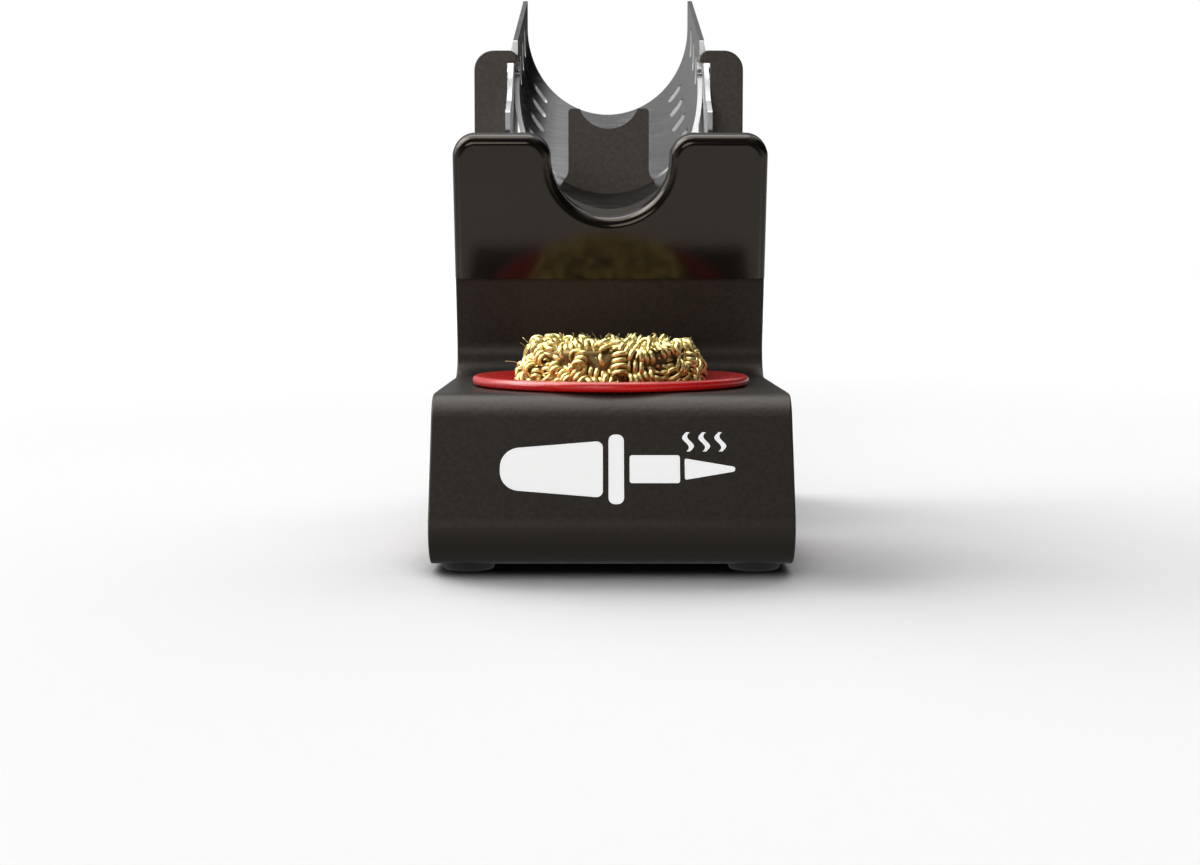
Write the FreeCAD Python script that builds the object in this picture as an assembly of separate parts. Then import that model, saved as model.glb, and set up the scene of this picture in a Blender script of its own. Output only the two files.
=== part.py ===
import FreeCAD, Part
import math
import os

from FreeCAD import Vector

# Stand for a soldering iron, in millimetres.
# X runs across the stand, Y from front (low) to rear (high), Z up from the bench.
# While it is built, Y is counted from the front of the lower bend; write() then moves
# every piece so that the origin is under the middle of the whole stand.

# ---- driving dimensions -------------------------------------------------------------
WIDTH = 90.0                # width of both folded sheets
SHEET = 2.0                 # thickness of the folded sheets
EDGE_ROUND = 0.5            # rounding of the coated sheets' long edges
CRADLE_REAR = 275.6         # rear end of the tool cradle
HALF = WIDTH / 2

FOOT_HEIGHT = 2.0
FOOT_R = 6.5
FOOT_X = 36.0
FRONT_FOOT_Y = 15.0
REAR_FOOT_Y = 171.0

# base shell: floor plate, leaning front, shelf, upright that leans forward
LOWER_BEND_R = 9.6
FRONT_LEAN = math.radians(23.6)
SHELF_Z = 44.0
SHELF_BEND_R = 9.0
UPRIGHT_LEAN = math.radians(14.2)
UPRIGHT_FOOT_Y = 102.4      # where the upright's front face would meet the shelf's top
UPRIGHT_BEND_R = 8.0
BASE_REAR_Y = 180.5

# rest cover on the upright, measured up the leaning upright from the seam
SEAM_Z = 73.3
COVER_HEIGHT = 41.6
COVER_CORNER_R = 6.5
COVER_WALL = 3.0
COVER_ROUND = 2.8
NOTCH_R = 17.0              # the iron's handle lies here
NOTCH_FLOOR = 17.6
NOTCH_SHOULDER_R = 6.8
TAB_HALF = 40.5             # the upright's tab inside the cover
TAB_TOP = COVER_HEIGHT - 4.0
TAB_NOTCH_R = NOTCH_R + 4.0
TAB_GAP = 0.15
COVER_SCREW_X = 31.0
COVER_SCREW_UP = 12.0

# cleaner dish and brass wool, on one vertical axis
DISH_Y = 53.0
DISH_R = 37.3
DISH_RIM = 2.5              # thickness of the rim
DISH_LIFT_GAP = 0.3         # between the shelf and the rim
CUP_R = 28.6                # outside of the cup
CUP_WALL = 1.8
CUP_DEPTH = 20.0            # below the shelf's top
SHOULDER_R = 32.6           # a step under the rim that centres the dish in the shelf's hole
SHOULDER_DEPTH = 1.8        # below the shelf's top
SHELF_HOLE_R = SHOULDER_R + 0.4
WOOL_R = 26.2
WOOL_TOP_Z = 57.6
WOOL_ROUND = 3.0

# rear support: foot flange and a plate with a tongue between two ears
PLATE_Y = 182.5             # front face
FLANGE_LENGTH = 34.0
FLANGE_BEND_R = 4.0
EAR_TOP_Z = 148.5
EAR_CORNER_R = 6.5
EAR_INNER = 34.0            # inner edge of an ear, outside the cradle's brackets
NOSE_TIP = 30.6
NOSE_UNDER_Z = 144.4
NOSE_R = 2.8
TONGUE_HALF = 13.5
TONGUE_TOP_Z = 129.2
TONGUE_CORNER_R = 1.2
TONGUE_NOTCH_FLOOR_Z = 122.5
TONGUE_NOTCH_R = 10.4
TONGUE_FOOT_HALF = 16.6
TONGUE_FOOT_Z = 107.5
LEDGE_Z = 120.5             # the brackets hook over the plate here
FLANGE_SCREW_X = 20.0
FLANGE_SCREW_Y = (157.5, 171.0)

# tool cradle: a U-shaped trough of stainless sheet that rises to the rear
CRADLE_RISE = math.radians(20.0)
CRADLE_R = 30.5             # inside
CRADLE_SHEET = 1.6
CRADLE_AXIS_Z = 133.5       # height of its axis at the plate's front face
CRADLE_FRONT_Y = 165.0      # front end of its floor
CRADLE_TOP_Z = 177.7
WING_FRONT_Y = PLATE_Y + SHEET + 0.7
WING_FRONT_Z = 152.0
WING_UNDER_Z = 147.0
MOUTH_TOP = (202.0, 145.6)  # where the slanting front edge of the wall ends
TIP_FLAT = 1.2
SLOT_WIDTH = 6.4
SLOT_PITCH = 19.85
SLOT_FIRST = 9.2            # first row of slots, along the axis from the plate
SLOT_ROWS = 4
LOWER_SLOT = (46.8, 63.4)   # degrees round the trough from its floor
UPPER_SLOT = (-3.8, 7.4)    # along the straight wall, from the axis
TONGUE_SLOT_HALF = 20.3
TONGUE_SLOT_GAP = 0.5

# side brackets on the cradle
BRACKET_GAP = 0.05
BRACKET_SHEET = 1.6
BRACKET_REAR_Y = 222.0
BRACKET_UNDER_Z = 120.0     # its lowest edge at the rear
BRACKET_RISE = 9.0          # its top edge above the cradle's axis
HOOK_GAP = 0.2
RIVET_R = 1.6
RIVET_HEAD_R = 2.6
RIVET_HEAD = 1.1
RIVET_ALONG = (19.2, 39.0)
RIVET_UP = 2.6

# M3 fasteners
THREAD_R = 1.5
CLEAR_R = 1.7
HEAD_R = 2.9
PAN_HEAD = 1.5
COUNTERSUNK_R = 2.9
COUNTERSUNK = 1.4
WASHER_R = 3.5
WASHER = 0.5
NUT_ACROSS = 5.5
NUT = 2.4

ALONG_X = Vector(1, 0, 0)
ALONG_Y = Vector(0, 1, 0)
UP = Vector(0, 0, 1)


# ---- drawing helpers ----------------------------------------------------------------
def side_plane(across, up, x=0.0):
    """A point of the YZ plane."""
    return Vector(x, across, up)


def front_plane(across, up, y=0.0):
    """A point of the XZ plane."""
    return Vector(across, y, up)


def rounded_face(corners, place):
    """A flat face from (a, b, radius) corners; place() turns (a, b) into a 3D point."""
    arcs = []
    count = len(corners)
    for index, (a, b, radius) in enumerate(corners):
        here = Vector(a, b, 0)
        before = Vector(corners[index - 1][0], corners[index - 1][1], 0) - here
        after = Vector(corners[(index + 1) % count][0], corners[(index + 1) % count][1], 0) - here
        before.normalize()
        after.normalize()
        if radius < 1e-6:
            arcs.append((here, None, here))
            continue
        half = before.getAngle(after) / 2
        reach = radius / math.tan(half)
        middle = before + after
        middle.normalize()
        bulge = here + middle * (radius / math.sin(half) - radius)
        arcs.append((here + before * reach, bulge, here + after * reach))
    edges = []
    for index, (start, bulge, end) in enumerate(arcs):
        previous = arcs[index - 1][2]
        if (start - previous).Length > 1e-4:
            edges.append(Part.makeLine(place(previous.x, previous.y), place(start.x, start.y)))
        if bulge is not None:
            arc = Part.Arc(place(start.x, start.y), place(bulge.x, bulge.y), place(end.x, end.y))
            edges.append(arc.toShape())
    return Part.Face(Part.Wire(Part.__sortEdges__(edges)))


def folded_profile(path, thickness):
    """Corners of a sheet's section: path holds (a, b, bend radius) along one face of the
    sheet, and the sheet's thickness lies to the right of the direction of travel."""
    points = [Vector(a, b, 0) for a, b, _ in path]
    normals = []
    for start, end in zip(points, points[1:]):
        run = end - start
        run.normalize()
        normals.append(Vector(run.y, -run.x, 0))
    far_side = []
    for index, point in enumerate(points):
        radius = path[index][2]
        if index == 0 or index == len(points) - 1:
            shift = normals[min(index, len(normals) - 1)] * thickness
        else:
            first, second = normals[index - 1], normals[index]
            shift = (first + second) * (thickness / (1 + first.dot(second)))
            turns_right = first.cross(second).z < 0
            radius += -thickness if turns_right else thickness
        moved = point + shift
        far_side.append((moved.x, moved.y, radius))
    return list(path) + far_side[::-1]


def round_side_edges(solid, half, radius):
    """Round every edge that lies on one of the two side faces of a folded sheet."""
    edges = []
    for edge in solid.Edges:
        box = edge.BoundBox
        if abs(abs(box.XMin) - half) < 1e-3 and box.XLength < 1e-3:
            edges.append(edge)
    return solid.makeFillet(radius, edges)


def mirrored(shape):
    """The shape's mirror image on the other side of the stand."""
    return shape.mirror(Vector(0, 0, 0), ALONG_X)


def rod(radius, length, base, direction):
    return Part.makeCylinder(radius, length, base, direction)


def group(solids):
    """Separate solids that share one node."""
    return Part.makeCompound(solids)


# ---- leaning frame of the upright ---------------------------------------------------
UPRIGHT_UP = Vector(0, -math.sin(UPRIGHT_LEAN), math.cos(UPRIGHT_LEAN))
UPRIGHT_REAR = Vector(0, math.cos(UPRIGHT_LEAN), math.sin(UPRIGHT_LEAN))
SEAM = Vector(0, UPRIGHT_FOOT_Y - (SEAM_Z - SHELF_Z) * math.tan(UPRIGHT_LEAN), SEAM_Z)


def on_upright(across, up, rearward=0.0):
    return SEAM + ALONG_X * across + UPRIGHT_UP * up + UPRIGHT_REAR * rearward


def upright_slab(corners, front, rear):
    """A solid of the given outline between two depths, counted from the front face."""
    face = rounded_face(corners, lambda a, b: on_upright(a, b, front))
    return face.extrude(UPRIGHT_REAR * (rear - front))


def tab_outline(grow):
    notch = TAB_NOTCH_R - grow
    half = TAB_HALF + grow
    top = TAB_TOP + grow
    floor = NOTCH_FLOOR + NOTCH_R - notch
    corners = [(half, -grow, 0), (half, top, 3.0), (notch + 3.0, top, 3.0)]
    corners += [(notch, floor + notch + 1.0, 1.0), (notch, floor, notch)]
    return corners + [(-a, b, radius) for a, b, radius in corners[::-1]]


def cover_screw_places():
    return [(side * COVER_SCREW_X, COVER_SCREW_UP) for side in (-1, 1)]


# ---- the pieces ---------------------------------------------------------------------
def make_base_shell():
    floor_z = FOOT_HEIGHT
    # where the leaning front would meet the floor plate, for a bend that starts at y = 0
    front_foot_y = LOWER_BEND_R * (1 - 1 / math.cos(FRONT_LEAN) - math.tan(FRONT_LEAN))
    front_top_y = front_foot_y + (SHELF_Z - floor_z) * math.tan(FRONT_LEAN)
    top = on_upright(0, COVER_HEIGHT)
    path = [(BASE_REAR_Y, floor_z, 0), (front_foot_y, floor_z, LOWER_BEND_R),
            (front_top_y, SHELF_Z, SHELF_BEND_R), (UPRIGHT_FOOT_Y, SHELF_Z, UPRIGHT_BEND_R),
            (top.y, top.z, 0)]
    section = rounded_face(folded_profile(path, SHEET), lambda a, b: side_plane(a, b, -HALF))
    shell = section.extrude(ALONG_X * WIDTH)
    shell = round_side_edges(shell, HALF, EDGE_ROUND)

    beyond = HALF + 5
    above_seam = [(-beyond, 0, 0), (-beyond, beyond, 0), (beyond, beyond, 0), (beyond, 0, 0)]
    waste = upright_slab(above_seam, -5, 10).cut(upright_slab(tab_outline(0), -6, 11))
    shell = shell.cut(waste)
    shell = shell.cut(rod(SHELF_HOLE_R, 20, Vector(0, DISH_Y, SHELF_Z - 10), UP))
    for across, up in cover_screw_places():
        shell = shell.cut(rod(THREAD_R, 10, on_upright(across, up, -4), UPRIGHT_REAR))
    for x, y in flange_screw_places():
        shell = shell.cut(countersunk_hole(x, y))
    return shell


def make_rest_cover():
    corners = [(HALF, 0, 0), (HALF, COVER_HEIGHT, COVER_CORNER_R),
               (NOTCH_R, COVER_HEIGHT, NOTCH_SHOULDER_R), (NOTCH_R, NOTCH_FLOOR, NOTCH_R)]
    corners += [(-a, b, radius) for a, b, radius in corners[::-1]]
    front, rear = -COVER_WALL, SHEET + COVER_WALL
    cover = upright_slab(corners, front, rear)
    rims = []
    for edge in cover.Edges:
        ends = [(vertex.Point - SEAM).dot(UPRIGHT_UP) for vertex in edge.Vertexes]
        depths = [(vertex.Point - SEAM).dot(UPRIGHT_REAR) for vertex in edge.Vertexes]
        on_face = abs(depths[0] - depths[-1]) < 1e-3
        if on_face and max(ends) > 0.01:
            rims.append(edge)
    cover = cover.makeFillet(COVER_ROUND, rims)
    pocket = upright_slab(tab_outline(TAB_GAP), -TAB_GAP, SHEET + TAB_GAP)
    cover = cover.cut(pocket)
    for across, up in cover_screw_places():
        relief = rod(CLEAR_R, rear + 1.4, on_upright(across, up, -1.4), UPRIGHT_REAR)
        head = rod(HEAD_R + 0.2, 5, on_upright(across, up, rear - PAN_HEAD), UPRIGHT_REAR)
        cover = cover.cut(relief).cut(head)
    return cover


def make_cover_screws():
    rear = SHEET + COVER_WALL
    screws = []
    for across, up in cover_screw_places():
        head_seat = rear - PAN_HEAD
        shank = rod(THREAD_R - 0.03, head_seat + 1.0, on_upright(across, up, -1.0), UPRIGHT_REAR)
        head = rod(HEAD_R, PAN_HEAD, on_upright(across, up, head_seat), UPRIGHT_REAR)
        head = head.makeFillet(0.6, [edge for edge in head.Edges
                                     if (edge.CenterOfMass - SEAM).dot(UPRIGHT_REAR) > rear - 0.01])
        recess = rod(0.9, 0.8, on_upright(across, up, rear - 0.8), UPRIGHT_REAR)
        screws.append(shank.fuse(head).cut(recess))
    return group(screws)


def make_cleaner_dish():
    seat = SHELF_Z + DISH_LIFT_GAP
    bottom = SHELF_Z - CUP_DEPTH
    rim_top = seat + DISH_RIM
    step = SHELF_Z - SHOULDER_DEPTH
    inner = CUP_R - CUP_WALL
    section = [(0, bottom, 0), (CUP_R, bottom, 2.5), (CUP_R, step, 0.8), (SHOULDER_R, step, 0.6),
               (SHOULDER_R, seat, 0.3), (DISH_R, seat, 1.2),
               (DISH_R, rim_top, 1.2), (DISH_R - 2.4, rim_top, 0.6), (inner + 1.0, seat + 1.1, 0.6),
               (inner, seat + 0.2, 0.4), (inner, bottom + CUP_WALL, 1.0),
               (0, bottom + CUP_WALL, 0)]
    face = rounded_face(section, side_plane)
    return revolved(face, DISH_Y)


def make_brass_wool():
    bottom = SHELF_Z - CUP_DEPTH + CUP_WALL + 0.3
    section = [(0, bottom, 0), (WOOL_R, bottom, 1.2), (WOOL_R, WOOL_TOP_Z, WOOL_ROUND),
               (0, WOOL_TOP_Z, 0)]
    return revolved(rounded_face(section, side_plane), DISH_Y)


def revolved(face, y):
    """Turn a section drawn beside the Z axis all the way round, and move it back to y."""
    solid = face.revolve(Vector(0, 0, 0), UP, 360)
    solid.translate(Vector(0, y, 0))
    return solid


def make_foot(x, y):
    pad = rod(FOOT_R, FOOT_HEIGHT, Vector(x, y, 0), UP)
    lower = [edge for edge in pad.Edges if edge.BoundBox.ZMax < 0.01]
    return pad.makeFillet(0.7, lower)


def flange_screw_places():
    return [(side * FLANGE_SCREW_X, y) for side in (-1, 1) for y in FLANGE_SCREW_Y]


def countersunk_hole(x, y):
    base = Vector(x, y, FOOT_HEIGHT)
    hole = rod(CLEAR_R, SHEET + 1, base, UP)
    cone = Part.makeCone(COUNTERSUNK_R + 0.05, THREAD_R + 0.05, COUNTERSUNK, base, UP)
    return hole.fuse(cone)


def cradle_place(along, across, height):
    """A point from the cradle's own axes: along the axis, across it, and up from it."""
    origin = Vector(0, PLATE_Y, CRADLE_AXIS_Z)
    forward = Vector(0, math.cos(CRADLE_RISE), math.sin(CRADLE_RISE))
    upward = Vector(0, -math.sin(CRADLE_RISE), math.cos(CRADLE_RISE))
    return origin + forward * along + ALONG_X * across + upward * height


def cradle_envelope(radius, start=-60.0, end=140.0, height=80.0):
    """The U-shaped prism of the given radius along the cradle's axis, open upwards."""
    corners = [(radius, height, 0), (radius, -radius, radius), (-radius, -radius, radius),
               (-radius, height, 0)]
    face = rounded_face(corners, lambda a, b: cradle_place(start, a, b))
    return face.extrude(cradle_place(end, 0, 0) - cradle_place(start, 0, 0))


def axis_z(y):
    """Height of the cradle's axis at y."""
    return CRADLE_AXIS_Z + (y - PLATE_Y) * math.tan(CRADLE_RISE)


def make_rear_support():
    outer = CRADLE_R + CRADLE_SHEET
    plate_rear = PLATE_Y + SHEET
    flange_top = FOOT_HEIGHT + 2 * SHEET
    path = [(plate_rear, EAR_TOP_Z, 0), (plate_rear, flange_top - SHEET, FLANGE_BEND_R),
            (PLATE_Y - FLANGE_LENGTH, flange_top - SHEET, 0)]
    section = rounded_face(folded_profile(path, SHEET), lambda a, b: side_plane(a, b, -HALF))
    support = section.extrude(ALONG_X * WIDTH)

    corner = [(HALF - EAR_CORNER_R, EAR_TOP_Z - EAR_CORNER_R, 0), (HALF, EAR_TOP_Z - EAR_CORNER_R, 0),
              (HALF, EAR_TOP_Z, EAR_CORNER_R), (HALF - EAR_CORNER_R, EAR_TOP_Z, 0)]
    blank = [(HALF + 1, 40, 0), (HALF + 1, EAR_TOP_Z + 5, 0), (HALF - EAR_CORNER_R, EAR_TOP_Z + 5, 0),
             (HALF - EAR_CORNER_R, EAR_TOP_Z - EAR_CORNER_R, 0), (HALF, EAR_TOP_Z - EAR_CORNER_R, 0),
             (HALF, 40, 0)]
    waste = plate_prism(blank).cut(plate_prism(corner))
    waste = waste.fuse(mirrored(waste))

    seat_r = outer + 0.5
    seat_floor = CRADLE_AXIS_Z - outer / math.cos(CRADLE_RISE) - 0.15
    seat = rod(seat_r, 30, Vector(0, PLATE_Y - 10, seat_floor + seat_r), ALONG_Y)
    above_ledge = [(-EAR_INNER, LEDGE_Z, 0.2), (EAR_INNER, LEDGE_Z, 0.2),
                   (EAR_INNER, EAR_TOP_Z + 5, 0), (-EAR_INNER, EAR_TOP_Z + 5, 0)]
    gap = plate_prism(above_ledge).fuse(seat).cut(make_tongue(seat_floor))
    for side in (-1, 1):
        gap = gap.cut(plate_prism(nose_outline(side)))
    support = support.cut(waste).cut(gap)
    for x, y in flange_screw_places():
        support = support.cut(rod(CLEAR_R, 10, Vector(x, y, FOOT_HEIGHT), UP))
    return round_side_edges(support, HALF, EDGE_ROUND)


def plate_prism(corners):
    """A solid through the rear support's plate, with the given outline."""
    face = rounded_face(corners, lambda a, b: front_plane(a, b, PLATE_Y - 4))
    return face.extrude(ALONG_Y * 10)


def nose_outline(side):
    """The rounded nose at the top of an ear, pointing in over the cradle's bracket."""
    root = EAR_INNER + 4
    corners = [(root, EAR_TOP_Z, 0), (NOSE_TIP, EAR_TOP_Z, NOSE_R), (NOSE_TIP, NOSE_UNDER_Z, 0.9),
               (root, NOSE_UNDER_Z, 0)]
    return [(side * a, b, radius) for a, b, radius in corners]


def make_tongue(root_z):
    """The tongue that stands up through the cradle's floor, notched for the tool."""
    right = [(TONGUE_FOOT_HALF, root_z - 10, 0), (TONGUE_FOOT_HALF, TONGUE_FOOT_Z - 4.0, 1.0),
             (TONGUE_HALF, TONGUE_FOOT_Z, 4.0), (TONGUE_HALF, TONGUE_TOP_Z, TONGUE_CORNER_R)]
    left = [(-a, b, radius) for a, b, radius in right[::-1]]
    notch_centre = Vector(0, PLATE_Y - 10, TONGUE_NOTCH_FLOOR_Z + TONGUE_NOTCH_R)
    return plate_prism(right + left).cut(rod(TONGUE_NOTCH_R, 30, notch_centre, ALONG_Y))


def make_flange_screws():
    length = 8.0
    screws = []
    for x, y in flange_screw_places():
        base = Vector(x, y, FOOT_HEIGHT + 0.05)
        head = Part.makeCone(COUNTERSUNK_R, THREAD_R, COUNTERSUNK, base, UP)
        shank = rod(THREAD_R, length, base, UP)
        recess = rod(1.0, 0.9, base, UP)
        screws.append(head.fuse(shank).cut(recess))
    return group(screws)


def make_flange_washers():
    seat = FOOT_HEIGHT + 2 * SHEET
    washers = []
    for x, y in flange_screw_places():
        ring = rod(WASHER_R, WASHER, Vector(x, y, seat), UP)
        washers.append(ring.cut(rod(CLEAR_R, WASHER, Vector(x, y, seat), UP)))
    return group(washers)


def make_flange_nuts():
    seat = FOOT_HEIGHT + 2 * SHEET + WASHER
    corner_r = NUT_ACROSS / 2 / math.cos(math.pi / 6)
    nuts = []
    for x, y in flange_screw_places():
        corners = [(x + corner_r * math.cos(turn), y + corner_r * math.sin(turn), 0)
                   for turn in (math.pi / 3 * side for side in range(6))]
        face = rounded_face(corners, lambda a, b: Vector(a, b, seat))
        prism = face.extrude(UP * NUT)
        dome = Part.makeCone(corner_r + 1.6, corner_r - 0.25, NUT + 0.001, Vector(x, y, seat), UP)
        nut = prism.common(dome)
        nuts.append(nut.cut(rod(THREAD_R + 0.03, NUT, Vector(x, y, seat), UP)))
    return group(nuts)


def make_tool_cradle():
    shell = cradle_envelope(CRADLE_R + CRADLE_SHEET).cut(cradle_envelope(CRADLE_R))
    mouth_foot_z = axis_z(CRADLE_FRONT_Y) - (CRADLE_R + CRADLE_SHEET) / math.cos(CRADLE_RISE)
    lean = (MOUTH_TOP[0] - CRADLE_FRONT_Y) / (MOUTH_TOP[1] - mouth_foot_z)
    below = 20.0
    side_view = [(CRADLE_FRONT_Y - below * lean, mouth_foot_z - below, 0),
                 (MOUTH_TOP[0], MOUTH_TOP[1], 0.6), (MOUTH_TOP[0], WING_UNDER_Z, 0.6),
                 (WING_FRONT_Y, WING_UNDER_Z, 1.0), (WING_FRONT_Y, WING_FRONT_Z, 0.8),
                 (CRADLE_REAR - TIP_FLAT, CRADLE_TOP_Z, 0.6), (CRADLE_REAR, CRADLE_TOP_Z, 0.4),
                 (CRADLE_REAR, mouth_foot_z - below, 0)]
    outline = rounded_face(side_view, lambda a, b: side_plane(a, b, -HALF))
    cradle = shell.common(outline.extrude(ALONG_X * WIDTH))

    gap = TONGUE_SLOT_GAP
    tongue_slot = Part.makeBox(2 * TONGUE_SLOT_HALF, SHEET + 2 * gap, 30,
                               Vector(-TONGUE_SLOT_HALF, PLATE_Y - gap, 85))
    cradle = cradle.cut(tongue_slot)
    for row in range(SLOT_ROWS):
        along = SLOT_FIRST + row * SLOT_PITCH
        for side in (-1, 1):
            cradle = cradle.cut(lower_slot(along, side))
            if row > 0:
                cradle = cradle.cut(upper_slot(along, side))
    for along in RIVET_ALONG:
        cradle = cradle.cut(rod(RIVET_R, WIDTH, cradle_place(along, -HALF, RIVET_UP), ALONG_X))
    return cradle


def lower_slot(along, side):
    """A round-ended slot that runs round the curved wall."""
    inner, outer = CRADLE_R - 3, CRADLE_R + CRADLE_SHEET + 3
    end_angle = math.degrees(SLOT_WIDTH / 2 / CRADLE_R)
    start, stop = LOWER_SLOT[0] + end_angle, LOWER_SLOT[1] - end_angle

    def spoke(angle, radius, along_axis):
        turn = math.radians(angle)
        return cradle_place(along_axis, side * radius * math.sin(turn), -radius * math.cos(turn))

    def ring_part(low, high):
        edge_points = [(low, inner), (high, inner), (high, outer), (low, outer)]
        base = along - SLOT_WIDTH / 2
        middle = (low + high) / 2
        points = [spoke(angle, radius, base) for angle, radius in edge_points]
        arc_in = Part.Arc(points[0], spoke(middle, inner, base), points[1]).toShape()
        arc_out = Part.Arc(points[2], spoke(middle, outer, base), points[3]).toShape()
        wire = Part.Wire([arc_in, Part.makeLine(points[1], points[2]), arc_out,
                          Part.makeLine(points[3], points[0])])
        return Part.Face(wire).extrude(cradle_place(SLOT_WIDTH, 0, 0) - cradle_place(0, 0, 0))

    slot = ring_part(start, stop)
    for angle in (start, stop):
        base = spoke(angle, inner, along)
        slot = slot.fuse(rod(SLOT_WIDTH / 2, outer - inner, base, spoke(angle, outer, along) - base))
    return slot


def upper_slot(along, side, depth=HALF):
    """A round-ended slot across the straight upper wall, through wall and bracket."""
    low, high = UPPER_SLOT[0], UPPER_SLOT[1]
    half = SLOT_WIDTH / 2
    corners = [(along - half, low, half), (along + half, low, half),
               (along + half, high, half), (along - half, high, half)]
    face = rounded_face(corners, lambda a, b: cradle_place(a, side * (CRADLE_R - 6), b))
    return face.extrude(ALONG_X * side * depth)


def make_cradle_bracket(side):
    inner_x = CRADLE_R + CRADLE_SHEET + BRACKET_GAP
    top_front = (192.0, axis_z(192.0) + BRACKET_RISE)
    hook_low, hook_high = PLATE_Y - HOOK_GAP, PLATE_Y + SHEET + HOOK_GAP
    hook_top = LEDGE_Z + 0.1
    lip_z = LEDGE_Z - 2.4
    outline = [(164.0, 120.4, 0.8), (164.0, 126.6, 1.2), (174.0, 131.0, 3.0),
               (top_front[0], top_front[1], 1.6),
               (BRACKET_REAR_Y, axis_z(BRACKET_REAR_Y) + BRACKET_RISE, 2.5),
               (BRACKET_REAR_Y, BRACKET_UNDER_Z, 2.5),
               (hook_high + 5.0, lip_z, 1.5), (hook_high, lip_z, 0.5), (hook_high, hook_top, 0),
               (hook_low, hook_top, 0), (hook_low, lip_z, 0.5), (hook_low - 5.0, lip_z, 1.5)]
    face = rounded_face(outline, lambda a, b: side_plane(a, b, side * inner_x))
    bracket = face.extrude(ALONG_X * side * BRACKET_SHEET)
    bracket = bracket.cut(upper_slot(SLOT_FIRST + SLOT_PITCH, side))
    for along in RIVET_ALONG:
        hole = rod(RIVET_R, BRACKET_SHEET + 2, cradle_place(along, side * (inner_x - 1), RIVET_UP),
                   ALONG_X * side)
        bracket = bracket.cut(hole)
    return bracket


def make_cradle_rivets():
    inner_x = CRADLE_R
    outer_x = CRADLE_R + CRADLE_SHEET + BRACKET_GAP + BRACKET_SHEET
    rivets = []
    for side in (-1, 1):
        for along in RIVET_ALONG:
            start = cradle_place(along, side * inner_x, RIVET_UP)
            seat = cradle_place(along, side * outer_x, RIVET_UP)
            outward = ALONG_X * side
            shank = rod(RIVET_R, outer_x - inner_x, start, outward)
            head = rod(RIVET_HEAD_R, RIVET_HEAD, seat, outward)
            crown = [edge for edge in head.Edges if abs(edge.CenterOfMass.x) > outer_x + 0.9 * RIVET_HEAD]
            rivets.append(shank.fuse(head.makeFillet(0.8, crown)))
    return group(rivets)


# ---- writing ------------------------------------------------------------------------
def write(node, shape):
    placed = shape.copy()
    placed.translate(Vector(0, -CRADLE_REAR / 2, 0))
    for solid in placed.Solids:
        if not solid.isValid() or solid.Volume <= 0:
            raise RuntimeError("bad solid in " + node)
    box = placed.BoundBox
    print(f"{node:24s} solids {len(placed.Solids):2d}  volume {placed.Volume:9.1f}  "
          f"x {box.XMin:7.2f} {box.XMax:7.2f}  y {box.YMin:8.2f} {box.YMax:8.2f}  "
          f"z {box.ZMin:7.2f} {box.ZMax:7.2f}")
    placed.exportStep(os.path.join("parts", node + ".step"))


def main():
    os.makedirs("parts", exist_ok=True)
    write("base_shell", make_base_shell())
    write("rest_cover", make_rest_cover())
    write("cover_screws", make_cover_screws())
    write("cleaner_dish", make_cleaner_dish())
    write("brass_wool", make_brass_wool())
    for row, y in (("front", FRONT_FOOT_Y), ("rear", REAR_FOOT_Y)):
        for name, side in (("left", -1), ("right", 1)):
            write(f"foot_{row}_{name}", make_foot(side * FOOT_X, y))
    write("rear_support", make_rear_support())
    write("flange_screws", make_flange_screws())
    write("flange_washers", make_flange_washers())
    write("flange_nuts", make_flange_nuts())
    write("tool_cradle", make_tool_cradle())
    write("cradle_bracket_left", make_cradle_bracket(-1))
    write("cradle_bracket_right", make_cradle_bracket(1))
    write("cradle_rivets", make_cradle_rivets())


main()
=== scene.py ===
import math
import random

import bmesh
import bpy
import numpy as np
from mathutils import Matrix, Vector, noise


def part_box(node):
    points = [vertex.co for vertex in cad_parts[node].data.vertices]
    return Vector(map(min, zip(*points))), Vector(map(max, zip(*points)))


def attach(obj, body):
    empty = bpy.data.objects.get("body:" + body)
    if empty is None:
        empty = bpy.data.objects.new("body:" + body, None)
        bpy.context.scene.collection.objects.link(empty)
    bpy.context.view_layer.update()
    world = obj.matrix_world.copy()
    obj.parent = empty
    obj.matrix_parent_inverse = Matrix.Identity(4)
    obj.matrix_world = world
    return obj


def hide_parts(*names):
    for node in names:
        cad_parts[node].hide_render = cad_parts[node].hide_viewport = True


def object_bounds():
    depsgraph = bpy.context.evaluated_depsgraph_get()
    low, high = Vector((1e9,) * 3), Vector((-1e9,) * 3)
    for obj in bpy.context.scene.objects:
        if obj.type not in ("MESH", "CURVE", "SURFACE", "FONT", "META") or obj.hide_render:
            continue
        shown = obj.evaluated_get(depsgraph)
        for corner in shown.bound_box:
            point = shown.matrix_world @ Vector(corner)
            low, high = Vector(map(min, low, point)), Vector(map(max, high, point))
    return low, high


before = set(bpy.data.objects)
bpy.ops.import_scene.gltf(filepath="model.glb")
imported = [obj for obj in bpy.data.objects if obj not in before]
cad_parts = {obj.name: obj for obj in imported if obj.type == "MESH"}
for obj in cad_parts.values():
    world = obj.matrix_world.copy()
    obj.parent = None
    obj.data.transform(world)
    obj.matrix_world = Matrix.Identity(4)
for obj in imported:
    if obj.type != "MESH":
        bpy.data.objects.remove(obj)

# Looks of a soldering iron stand around its CAD frame. Lengths are in metres; X runs across
# the stand, -Y is its front and Z is up.

CAD_LOW, CAD_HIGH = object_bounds()
MM = 0.001
SEED = 7
FULL_TURN = 2 * math.pi


# ---- small helpers ------------------------------------------------------------------
def into_scene(name, data):
    """A new object with that mesh, camera or light, in the scene."""
    made = bpy.data.objects.new(name, data)
    bpy.context.scene.collection.objects.link(made)
    return made


def dress(node, material):
    """Gives a CAD node its finish."""
    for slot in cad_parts[node].material_slots:
        slot.material = material


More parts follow.
